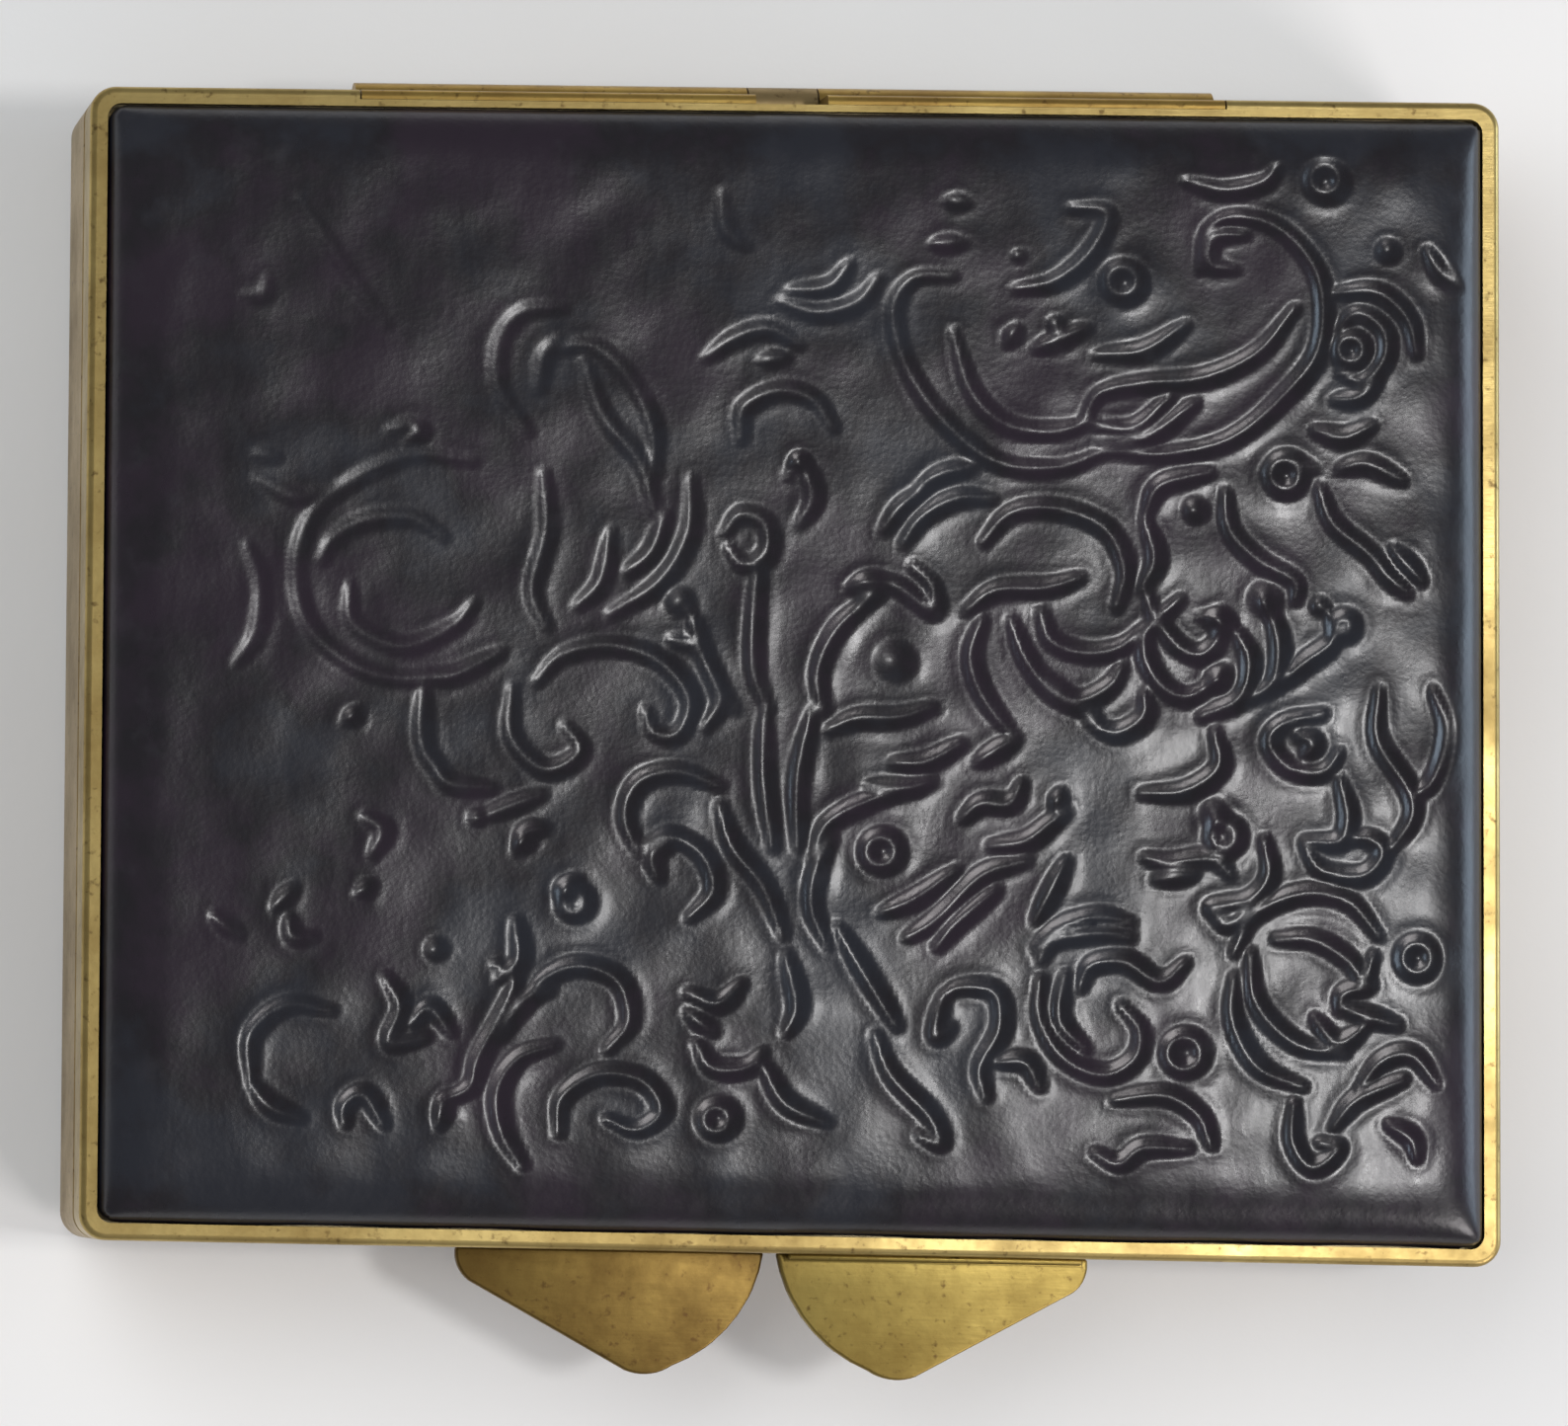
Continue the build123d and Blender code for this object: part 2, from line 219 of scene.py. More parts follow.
@dataclass(frozen=True)
class PolishedLeather:
    """Black calf, polished on its high spots, with fine hide grain and faint violet and blue shades."""

    black: Colour = (0.0060, 0.0048, 0.0070)
    violet: Colour = (0.0120, 0.0070, 0.0130)
    blue: Colour = (0.0100, 0.0110, 0.0160)

    def build(self) -> bpy.types.Material:
        """Makes the material."""
        surface = Surface("polished_black_leather")
        shades = surface.noise(9 * MM, 5.0, roughness=0.6)
        colour = surface.ramp(shades, [(0.38, self.violet), (0.5, self.black), (0.62, self.blue)])
        rubbed = surface.ramp(surface.noise(2.5 * MM, 6.0), [(0.58, (0, 0, 0)), (0.8, (0.5, 0.5, 0.5))])
        surface.drive("Base Color", surface.mix(rubbed, colour, (0.022, 0.021, 0.026)))
        streaks = surface.noise(0.9 * MM, 6.0, (1.0, 0.25, 1.0), 0.7)
        surface.drive("Roughness", surface.spread(streaks, 0.38, 0.25))
        surface.set(Specular_IOR_Level=0.42, Coat_Weight=0.12, Coat_Roughness=0.16)
        grain = surface.cells(0.32 * MM)
        pores = surface.noise(0.14 * MM, 3.0)
        creases = surface.noise(1.6 * MM, 5.0, roughness=0.6)
        surface.bump([(grain, 0.16, 0.035 * MM), (pores, 0.12, 0.025 * MM), (creases, 0.30, 0.10 * MM)])
        return surface.material


@dataclass(frozen=True)
class Velvet:
    """Short cotton velvet of the tray, brushed unevenly."""

    deep: Colour = (0.050, 0.006, 0.010)
    light: Colour = (0.115, 0.018, 0.026)

    def build(self) -> bpy.types.Material:
        """Makes the material."""
        surface = Surface("wine_velvet")
        nap = surface.noise(5 * MM, 5.0, roughness=0.6)
        surface.drive("Base Color", surface.ramp(nap, [(0.35, self.deep), (0.65, self.light)]))
        surface.set(Sheen_Weight=0.7, Sheen_Roughness=0.35, Specular_IOR_Level=0.15)
        surface.drive("Roughness", surface.spread(nap, 0.95, 0.82))
        pile = surface.noise(0.16 * MM, 2.0)
        surface.bump([(pile, 0.6, 0.10 * MM), (nap, 0.3, 0.25 * MM)])
        return surface.material


@dataclass(frozen=True)
class MirrorGlass:
    """Silvered glass with a little foxing in the silver."""

    silver: Colour = (0.84, 0.86, 0.86)
    foxed: Colour = (0.45, 0.42, 0.38)

    def build(self) -> bpy.types.Material:
        """Makes the material."""
        surface = Surface("mirror_silver")
        spots = surface.noise(3.5 * MM, 8.0, roughness=0.75)
        surface.drive("Base Color", surface.ramp(spots, [(0.66, self.silver), (0.80, self.foxed)]))
        surface.drive("Roughness", surface.spread(spots, 0.02, 0.06))
        surface.set(Metallic=1.0, Coat_Weight=0.4, Coat_Roughness=0.02)
        return surface.material


@dataclass(frozen=True)
class PlainStuff:
    """A dull inner material, such as card, wadding or plate, with its own fibre."""

    name: str
    dark: Colour
    light: Colour
    fibre: float = 0.3
    metallic: float = 0.0
    roughness: float = 0.85

    def build(self) -> bpy.types.Material:
        """Makes the material."""
        surface = Surface(self.name)
        clouds = surface.noise(4 * MM, 6.0)
        surface.drive("Base Color", surface.ramp(clouds, [(0.35, self.dark), (0.65, self.light)]))
        surface.drive("Roughness", surface.spread(clouds, self.roughness, self.roughness - 0.12))
        surface.set(Metallic=self.metallic)
        surface.bump([(surface.noise(self.fibre * MM, 4.0), 0.4, 0.05 * MM)])
        return surface.material


def dress(piece: bpy.types.Object, material: bpy.types.Material) -> None:
    """Gives a piece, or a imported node, one material.

    Args:
        piece: The object to dress.
        material: Its material.
    """
    piece.data.materials.clear()
    piece.data.materials.append(material)


# ---------------------------------------------------------------- shaping helpers
def only(piece: bpy.types.Object) -> None:
    """Deselects everything, then selects one piece and makes it active."""
    bpy.ops.object.select_all(action="DESELECT")
    piece.select_set(True)
    bpy.context.view_layer.objects.active = piece


def smooth(piece: bpy.types.Object, angle: float = 35.0) -> None:
    """Shades a piece smooth up to an angle in degrees."""
    only(piece)
    bpy.ops.object.shade_smooth_by_angle(angle=math.radians(angle))


def softened_copy(node: str, name: str, width: float, material: bpy.types.Material) -> bpy.types.Object:
    """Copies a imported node, merges it, and rounds its edges over.

    Args:
        node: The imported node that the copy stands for.
        name: The new piece's name.
        width: Width of the rounding in metres.
        material: The copy's finish.

    Returns:
        The new piece, which replaces the node.
    """
    piece = bpy.data.objects.new(name, NODES[node].data.copy())
    bpy.context.scene.collection.objects.link(piece)
    only(piece)
    bpy.ops.object.mode_set(mode="EDIT")
    bpy.ops.mesh.select_all(action="SELECT")
    bpy.ops.mesh.remove_doubles(threshold=MERGE_GAP)
    bpy.ops.mesh.dissolve_limited(angle_limit=FLAT_ANGLE)
    bpy.ops.object.mode_set(mode="OBJECT")
    bevel = piece.modifiers.new("rounding", "BEVEL")
    bevel.width = width
    bevel.segments = ROUNDING_SEGMENTS
    bevel.limit_method = "ANGLE"
    bevel.angle_limit = EDGE_ANGLE
    bpy.ops.object.modifier_apply(modifier=bevel.name)
    smooth(piece, 50)
    dress(piece, material)
    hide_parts(node)
    return piece


NODES: dict[str, bpy.types.Object] = {}

# ---------------------------------------------------------------- scroll ornament
# Each scroll is a line of points in millimetres from the middle of the lid, +Y to the hinge.
SCROLLS: tuple[tuple[Point, ...], ...] = (
    ((22.5, 23.1), (22.9, 25.3), (24.7, 26.1), (27.2, 25.3), (29.2, 22.6), (29.2, 18.7), (27.2, 15.9),
     (24.2, 13.4), (20.6, 12.5), (17.2, 12.6)),
    ((17.2, 12.6), (14.4, 11.6), (11.1, 11.9), (8.3, 14), (6.1, 17.1), (5.3, 20.4), (6.4, 22.3),
     (8.6, 22.5)),
    ((8.6, 19.3), (9.7, 15.9), (11.7, 14), (14.4, 13.7), (16.4, 14.3)),
    ((16.1, 14.6), (16.9, 15.9), (19.4, 16.5), (22.8, 16.9), (25.8, 18.4), (27.8, 20.9)),
    ((16.7, 14), (18.9, 14), (20.8, 15.7)),
    ((16.9, 13.2), (19.4, 13.4), (22.2, 15.4)),
    ((24.4, 23.1), (23.1, 23.4), (23.3, 24.9), (25, 25.1)),
    ((21.7, 28.1), (23.9, 27.6), (26.1, 28.1), (26.9, 29)),
    ((12.2, 21.8), (14.4, 22.3), (16.4, 24), (17.3, 26.2), (15.3, 26.5)),
    ((11.7, 18.7), (12.2, 19.6)),
    ((13.3, 18.4), (14.2, 18.8), (16.1, 19.6)),
    ((16.7, 18.1), (19.4, 18.4), (21.7, 19.9)),
    ((30, 21.8), (32.5, 21.9), (34.2, 20.4), (34.7, 18.4)),
    ((30.3, 19.8), (31.4, 20.7), (32.8, 19.8), (32.9, 18.2), (31.7, 16.8), (30.3, 17.3)),
    ((30, 15.7), (31.4, 15.9), (32.5, 16.8)),
    ((28.9, 14), (30.6, 13.6), (32.2, 14.3)),
    ((35.3, 24.3), (36.1, 23.1), (37.2, 22.3)),
    ((8.3, 26.8), (9.4, 26.7)),
    ((7.5, 24.3), (9.2, 24.4)),
    ((-4.4, 27.1), (-4.2, 25.1), (-3.1, 24)),
    ((-5.3, 17.6), (-3.6, 18.8), (-1.7, 19.3), (0, 18.4)),
    ((-2.2, 17.5), (-0.8, 17.7)),
    ((-0.6, 21.5), (1.7, 21.8), (2.8, 23.1)),
    ((-1.1, 20.9), (1.1, 20.3), (3.3, 20.9), (4.4, 22.3)),
    ((-3.3, 12.9), (-3.1, 14.8), (-1.1, 15.8), (0.8, 15.3), (1.9, 13.7)),
    ((-0.6, 10.9), (0, 11.8), (0.8, 9.8), (0, 8.2)),
    ((-4.2, 7.6), (-3.3, 8.7), (-1.9, 8.2), (-1.8, 6.5), (-3.1, 5.8), (-4, 6.8)),
    ((-15.3, 13.2), (-16.9, 15.7), (-16.9, 18.4), (-15.6, 20.1), (-13.3, 20.4)),
    ((-14.7, 15.7), (-14.4, 17.6), (-13.6, 18.6)),
    ((-14.2, 17.9), (-11.7, 18.2), (-9.7, 16.5), (-8.3, 13.7), (-8.1, 10.9)),
    ((-6.1, 10.7), (-6.2, 7.6), (-7.8, 4.8), (-10.6, 2.9)),
    ((-7.5, 8.7), (-8.3, 6.5), (-9.7, 5.3)),
    ((-14.4, 10.9), (-14.2, 7.6), (-15, 4.3), (-14.2, 2.1)),
    ((-10.6, 7.6), (-11.1, 4.8), (-12.5, 3.3)),
    ((-12.2, 17.6), (-11.1, 14.3), (-8.9, 11.5), (-8.1, 8.7)),
    ((-18.3, 11.5), (-21.7, 11.8), (-25, 10.4), (-27.5, 8.2), (-28.3, 4.8), (-27.2, 1.5),
     (-23.9, -0.7), (-20, -0.8), (-16.9, 0.4)),
    ((-26.9, 5.7), (-26.1, 7.1), (-24.2, 8.1), (-21.7, 8.2), (-20, 7.1)),
    ((-25.3, 4.3), (-25, 2.1), (-22.2, 0.9), (-19.4, 2.1), (-18.3, 3.4)),
    ((-30.8, 11.8), (-29.4, 11.6)),
    ((-30.6, 10.4), (-28.3, 9.3), (-26.7, 9.8)),
    ((-22.2, 12.6), (-21.1, 13.3)),
    ((-31.1, 6.5), (-30.3, 4.3), (-30.6, 1.5), (-31.7, -0.2)),
    ((-14.7, -1), (-13.3, 0.5), (-10.6, 1.1), (-7.8, 0.3), (-6.1, -1.8), (-6.7, -3.8), (-8.1, -3.8),
     (-8.6, -2.5)),
    ((-7.2, 1.5), (-5.6, 0.9), (-4.4, -1.8), (-5.3, -3.5)),
    ((-21.7, -0.7), (-19.4, -0.7), (-16.7, 0.7)),
    ((-20.6, -5.2), (-19.7, -6.8), (-17.2, -7.1)),
    ((-16.1, -1.3), (-16.1, -4.1), (-14.2, -6), (-12.2, -4.9), (-13.1, -3.5)),
    ((-21.1, -1.3), (-21.1, -4.6), (-20, -6.6)),
    ((-2.2, 6.5), (-2.5, 3.2), (-2.5, -0.2), (-1.7, -2.4)),
    ((-6.1, 3.2), (-5, -0.2), (-3.6, -2.4)),
    ((1.4, -2.4), (1.1, -0.2), (2.2, 2.3), (4.4, 4.3)),
    ((1.7, -3.5), (3.3, -2.8), (5.6, -2.7), (7.5, -2.1)),
    ((0, -10.2), (0, -6.3), (0.8, -2.4)),
    ((-1.9, -2.4), (-1.9, -6.3), (-1.4, -10.2)),
    ((2.8, 4.6), (3.9, 5.1), (5.6, 4.7), (7.5, 3.4), (7.5, 4.8), (6.4, 5.9)),
    ((5.8, 7.1), (6.9, 8.7), (8.9, 9.8), (10.8, 9.8)),
    ((6.7, 10.4), (8.1, 11.2), (9.7, 11.6)),
    ((10.3, 7.3), (11.9, 9), (14.4, 9.3), (17.2, 8.2), (18.3, 5.9), (17.8, 3.7)),
    ((9.4, 3.4), (11.1, 4.6), (13.9, 4.8), (15.8, 5.4)),
    ((4.7, 7.9), (5.8, 9.3), (7.2, 10.4)),
    ((13.6, 3.4), (14.2, 1.8), (16.1, 1.1), (18.1, 1.5), (19.2, 2.6)),
    ((13.9, -0.2), (15.6, -1.6), (17.5, -0.7), (18.1, 0.4)),
    ((16.1, -2.7), (17.8, -3.4), (19.4, -2.4), (19.4, -1)),
    ((10.3, 2.9), (9.7, 0.9), (10.3, -1.3), (11.9, -3.5)),
    ((11.9, 2.9), (12.8, 0.7), (14.4, -1.3), (16.7, -2.5)),
    ((19.4, 4.8), (20, 3.2), (21.4, 1.5), (22.8, 1.2), (23.9, 2.9), (22.5, 3.3)),
    ((24.2, 2.9), (25.3, 0.9), (24.7, -1.3), (22.5, -2.4)),
    ((21.4, 4.3), (19.4, 2.1), (20, -0.2), (21.7, -1.3), (23.6, -0.2)),
    ((23.3, -3.2), (23.6, -5.2), (21.7, -6.6), (19.2, -6.8)),
    ((26.1, 4.3), (26.9, 2.1), (26.7, -0.2), (25.3, -1.4)),
    ((26.7, -0.7), (28.3, 0.7), (30, 2.1), (29.7, 3.7)),
    ((23.9, 10.4), (24.2, 8.2), (25.8, 6.5), (27.8, 5.4), (27.8, 4.3)),
    ((19.4, 9), (20.3, 10.7), (23.1, 11.5)),
    ((26.1, 11.5), (27.2, 12.3), (28.9, 11.8)),
    ((30.3, 11.8), (31.9, 12.1), (33.9, 11.2)),
    ((29.2, 10.7), (30, 8.7), (31.9, 7.1), (33.6, 5.4)),
    ((33.3, 7.3), (35, 5.5)),
    ((32.2, 6.5), (34.2, 4.8)),
    ((29.4, -2.1), (27.2, -2.7), (26.4, -3.8), (27.5, -5.2), (29.4, -5.4), (30.3, -4.3)),
    ((27.8, -3.2), (28.9, -3.8), (28.3, -4.6)),
    ((30.3, -5.7), (30.8, -7.9), (30.3, -9.3), (28.3, -9.3)),
    ((28.3, -9.6), (29.4, -11), (31.7, -11.2), (32.8, -9.9), (31.9, -9.1), (30.3, -9.3)),
    ((32.5, -0.7), (32.5, -3.5), (34.2, -6.3), (34.4, -7.9), (33.3, -9.6)),
    ((35.6, -0.7), (36.4, -2.9), (35.6, -5.7), (34.2, -6.8)),
    ((19.2, 4.8), (20, 6.5), (19.4, 8.7)),
    ((3.9, -6.6), (6.1, -6.7), (7.5, -6.3)),
    ((5.3, -5.3), (7.2, -5.2), (9.2, -4.1)),
    ((0.8, -10.7), (1.7, -8.8), (3.9, -7.5), (6.4, -6.8)),
    ((10, -5.2), (11.4, -4.3), (12.2, -3.8)),
    ((9.2, -8.4), (10.3, -7.5), (11.9, -7.5), (12.5, -6.3)),
    ((10.8, -9.9), (12.8, -9.6), (14.2, -8.5), (15, -7.9)),
    ((4.7, -13.8), (6.7, -12.9), (8.9, -11.3)),
    ((1.7, -15.7), (0.8, -13.5), (1.1, -11.3), (1.9, -9.6)),
    ((2.2, -14.6), (3.9, -17.4), (5.6, -20.2)),
    ((6.1, -15.2), (7.8, -14.1), (10.3, -11.6), (12.8, -10.7)),
    ((7.8, -15.7), (8.9, -14.3), (11.1, -12.4)),
    ((4.4, -20.7), (5.3, -22.9), (7.5, -25.2), (8.1, -26.8), (6.9, -26.3)),
    ((13.3, -14.1), (14.2, -12.4), (15, -10.7)),
    ((14.7, -6.8), (14.4, -7.7)),
    ((19.4, -10.4), (20.8, -10.7), (23.1, -10.4), (24.2, -11.3)),
    ((20, -11.6), (22.2, -11.3)),
    ((23.6, -8.5), (24.4, -9.3), (23.9, -10.3)),
    ((26.1, -9.3), (26.4, -11.3), (25.3, -12.7), (23.1, -13.2), (24.7, -13.8)),
    ((23.1, -13.5), (24.2, -14.1), (25.8, -12.7)),
    ((13.3, -15.7), (14.4, -14.6), (16.7, -13.8), (18.6, -14.1)),
    ((13.6, -16.3), (14.4, -15.2), (16.9, -14.7), (18.6, -14.9)),
    ((15.8, -17.9), (16.4, -16.6), (18.3, -16.3), (20.3, -17.4), (21.7, -16.3)),
    ((13.6, -17.4), (13.6, -19.6), (15, -21.8), (17.2, -22.7), (18.9, -21.8), (19.2, -20.2), (18.1, -18.8)),
    ((15, -17.1), (14.7, -19.6), (16.1, -21.3)),
    ((8.1, -18.5), (9.2, -17.9), (11.1, -18.2), (11.4, -20.2), (10.3, -22.4), (10.6, -24.1)),
    ((8.1, -18.5), (7.8, -20.7), (8.6, -20.2)),
    ((11.1, -22.1), (12.8, -22.1), (13.6, -23.5)),
    ((17.8, -24.1), (20.6, -23.8), (22.5, -24.9), (23.2, -26.6)),
    ((24.4, -17.1), (24.4, -19.6), (25.8, -22.1), (28.3, -23.2)),
    ((24.4, -15.7), (25.6, -13.5), (28.3, -12.3), (30.8, -12.7), (32.5, -14.6)),
    ((26.7, -14.9), (28.9, -14.9), (30.8, -16), (31.7, -17.1), (32.2, -15.7)),
    ((25.3, -15.7), (25.7, -18.5), (27.8, -20.7), (30.6, -21.3)),
    ((30.3, -18.5), (31.7, -19.1), (33.6, -19.6)),
    ((28.9, -19.3), (30.3, -20.7), (31.9, -19.6)),
    ((32.2, -17.4), (30.6, -17.9), (30.3, -18.8)),
    ((31.4, -23.2), (32.8, -21.6), (34.4, -21.3), (35.8, -22.9)),
    ((30, -25.4), (31.4, -23.8), (33.9, -22.7)),
    ((27.8, -24.1), (27.8, -26.3), (28.9, -27.7), (30.3, -26.6), (29.2, -26.3)),
    ((33.1, -25.2), (34.4, -26), (34.7, -27.1)),
    ((16.7, -27.1), (18.1, -27.7), (19.4, -26.8), (21.9, -26.8)),
    ((-23.1, -17.9), (-22.2, -19.6), (-22.8, -21.6), (-20.8, -21.3)),
    ((-21.7, -20.7), (-20.6, -19.6), (-19.4, -21)),
    ((-16.9, -17.1), (-15.8, -17.9), (-16.7, -20.2), (-17.8, -22.4), (-18.3, -24.1), (-20, -24.9)),
    ((-15.3, -19.6), (-14.2, -17.9), (-12.2, -17.1), (-10, -17.9), (-9.4, -20.2), (-10.6, -21.8)),
    ((-20, -26.3), (-19.7, -24.6)),
    ((-16.7, -21.3), (-15.3, -19.1), (-13.9, -18.5)),
    ((-13.6, -21.6), (-15.6, -22.4), (-16.7, -24.3), (-16.4, -26.6), (-15.3, -28.5)),
    ((-13.3, -26.6), (-13.1, -24.6), (-11.1, -23.2), (-8.6, -23.5), (-7.5, -25.2), (-8.9, -26.3),
     (-10.6, -25.7)),
    ((-25.3, -26.3), (-25.3, -25.2), (-24.2, -24.6), (-23.1, -26.3)),
    ((-30.6, -24.1), (-30.6, -21.3), (-28.6, -19.6), (-26.1, -19.9)),
    ((-30.6, -24.1), (-29.4, -25.4), (-27.8, -26)),
    ((-6.1, -18.5), (-4.4, -19.1), (-3.1, -17.9)),
    ((-5.6, -21.3), (-4.7, -22.7), (-2.8, -22.7), (-1.9, -21.8)),
    ((-6.1, -19.6), (-4.7, -20.7)),
    ((-1.9, -22.4), (-0.6, -24.6), (1.7, -25.7)),
    ((-0.6, -16.3), (0, -19.1), (-0.6, -20.7)),
    ((-8.9, -10.7), (-9.7, -8.5), (-8.9, -6.6), (-6.7, -6), (-4.4, -6.8)),
    ((-8.6, -10.2), (-7.2, -9.6), (-5.3, -10.7), (-4.7, -12.7), (-6.1, -14.3)),
    ((-7.8, -12.1), (-8.1, -10.7), (-6.9, -9.9)),
    ((-4.4, -7.9), (-3.6, -10.2), (-1.9, -12.4), (-0.8, -15.2)),
    ((-15.8, -10.7), (-15.3, -9.6), (-14.2, -9.3)),
    ((-17.8, -8.8), (-16.4, -8.2), (-14.4, -7.4)),
    ((-29.4, -14.1), (-28.3, -12.9)),
    ((-24.4, -8.8), (-23.3, -9.6), (-23.9, -11)),
    ((-25.6, -3.5), (-24.7, -2.7)),
    ((-28.6, -14.6), (-28.3, -15.7), (-27.2, -15.7)),
    ((-24.7, -13.2), (-23.9, -12.7)),
    ((-15.8, -14.6), (-15.6, -16.8), (-16.7, -17.9)),
    ((-13.3, -12.9), (-12.5, -12.4), (-12.5, -14.1)),
    ((-32.8, -14.6), (-31.4, -15.7)),
    ((-31.4, 20.9), (-30.3, 20.9), (-30.1, 21.8)),
    ((-28.3, 26.5), (-26.9, 24.3), (-25, 21.5), (-23.3, 19.3)),
    ((-23.1, 13.2), (-21.4, 13.7)),
)

# Raised dots: middle and radius in millimetres.
DOTS: tuple[tuple[float, float, float], ...] = (
    (33.1, 24.3, 0.5),
    (22.2, 9.3, 0.5),
    (0, 11.8, 0.4),
    (-6.7, 3.7, 0.6),
    (26.1, 4.3, 0.7),
    (23.6, 3.1, 0.6),
    (5.4, 0.5, 0.8),
    (3.9, 4.6, 0.7),
    (23.6, -0.2, 0.6),
    (14.4, 19.8, 0.4),
    (12.3, 23.7, 0.3),
    (-15.3, -10.2, 0.4),
    (-13.1, -12.7, 0.5),
    (-18.1, -8.8, 0.4),
    (-20.3, -16.3, 0.5),
    (-25, -3.2, 0.4),
    (29.2, 4, 0.4),
    (-21.4, 13.2, 0.4),
    (23.3, -7.9, 0.6),
)

# Pressed rings: middle and radius in millimetres.
RINGS: tuple[tuple[float, float, float], ...] = (
    (29.6, 28.3, 0.8),
    (18.2, 22.3, 0.8),
    (27.3, 11.4, 0.8),
    (4.7, -10.3, 0.8),
    (-4.4, -25.6, 0.7),
    (21.7, -21.4, 0.9),
    (34.7, -15.8, 0.8),
    (31, 18.6, 0.7),
    (23.9, -9.1, 0.7),
    (-12.5, -13.5, 0.6),
    (30.6, 2.9, 0.4),
)


def curved_line(points: tuple[Point, ...], step: float = 0.14) -> np.ndarray:
    """Draws a smooth line through given points.

    Args:
        points: The points, in millimetres.
        step: Distance between samples.

    Returns:
        Samples as rows of x, y and the place along the line from 0 to 1.
    """
    spots = [np.array(p) for p in points]
    spots = [2 * spots[0] - spots[1], *spots, 2 * spots[-1] - spots[-2]]
    samples = []
    for before, start, end, after in zip(spots, spots[1:], spots[2:], spots[3:]):
        count = max(2, int(np.linalg.norm(end - start) / step))
        for t in np.linspace(0, 1, count, endpoint=False):
            pull = (2 * before - 5 * start + 4 * end - after) * t * t
            samples.append(0.5 * (2 * start + (end - before) * t + pull
                                  + (3 * start - before - 3 * end + after) * t ** 3))
    samples.append(spots[-2])
    rows = np.array(samples)
    along = np.linspace(0, 1, len(rows))
    return np.column_stack([rows, along])


def ring_line(x: float, y: float, radius: float) -> np.ndarray:
    """Returns a closed circle as line samples, at an even place along so that it has no thin end."""
    turn = np.linspace(0, 2 * math.pi, 40)
    return np.column_stack([x + radius * np.cos(turn), y + radius * np.sin(turn), np.full(40, 0.5)])


@dataclass
class Ornament:
    """The pressed scrolls, as a height over the plane of a leather panel. All sizes in millimetres."""

    line_width: float = 0.40
    groove_depth: float = 0.25
    lip_height: float = 0.06
    dot_height: float = -0.26
    dot_rim_height: float = 0.06
    dot_rim_place: float = 1.7
    dot_rim_width: float = 0.4
    swell: float = 0.11
    swell_size: float = 3.2
    faintest: float = 0.28

    def strength(self, x: np.ndarray, y: np.ndarray) -> np.ndarray:
        """Returns how crisp the pressing is: worn faint at the back left, crisp at the front right."""
        ramp = np.clip((x / 40 - 0.9 * y / 33 + 1.15) / 1.35, 0, 1)
        return self.faintest + (1 - self.faintest) * ramp

    def press_line(self, line: np.ndarray, x: np.ndarray, y: np.ndarray, groove: np.ndarray,
                   lip: np.ndarray) -> None:
        """Presses one line into the groove and lip fields.

        Args:
            line: Samples of the line.
            x: Places across the panel, flattened.
            y: Places along the panel, flattened.
            groove: Groove field, raised in place.
            lip: Lip field, raised in place.
        """
        reach = 4 * self.line_width
        near = np.where((x > line[:, 0].min() - reach) & (x < line[:, 0].max() + reach)
                        & (y > line[:, 1].min() - reach) & (y < line[:, 1].max() + reach))[0]
        apart = np.hypot(x[near, None] - line[None, :, 0], y[near, None] - line[None, :, 1])
        nearest = apart.argmin(axis=1)
        gap = apart[np.arange(len(near)), nearest]
        taper = 0.45 + 0.55 * np.sqrt(np.sin(np.pi * np.clip(line[nearest, 2], 0.03, 0.97)))
        width = self.line_width * taper
        groove[near] = np.maximum(groove[near], taper * np.exp(-(gap / width) ** 3))
        lip[near] = np.maximum(lip[near], taper * np.exp(-((gap - 2.0 * width) / (0.95 * width)) ** 2))

    def height(self, x: np.ndarray, y: np.ndarray, flip: float = 1.0) -> np.ndarray:
        """Works out the relief at each place.

        Args:
            x: Places across the panel.
            y: Places along the panel.
            flip: -1 mirrors the ornament, for the underside.

        Returns:
            Height above the plain leather in millimetres.
        """
        shape = x.shape
        x = flip * x.ravel()
        y = y.ravel()
        groove = np.zeros(x.size)
        lip = np.zeros(x.size)
        for points in SCROLLS:
            self.press_line(curved_line(points), x, y, groove, lip)
        for ring in RINGS:
            self.press_line(ring_line(*ring), x, y, groove, lip)
        relief = self.lip_height * lip * (1 - groove) - self.groove_depth * groove
        for dot_x, dot_y, radius in DOTS:
            gap = np.hypot(x - dot_x, y - dot_y) / radius
            rim = np.exp(-((gap - self.dot_rim_place) / self.dot_rim_width) ** 2)
            relief += self.dot_height * np.exp(-gap ** 2) + self.dot_rim_height * rim
        size = self.swell_size
        waves = [noise.noise(Vector((a / size, b / size, 0.3))) for a, b in zip(x, y)]
        relief = relief * self.strength(x, y) + self.swell * np.array(waves)
        return relief.reshape(shape)


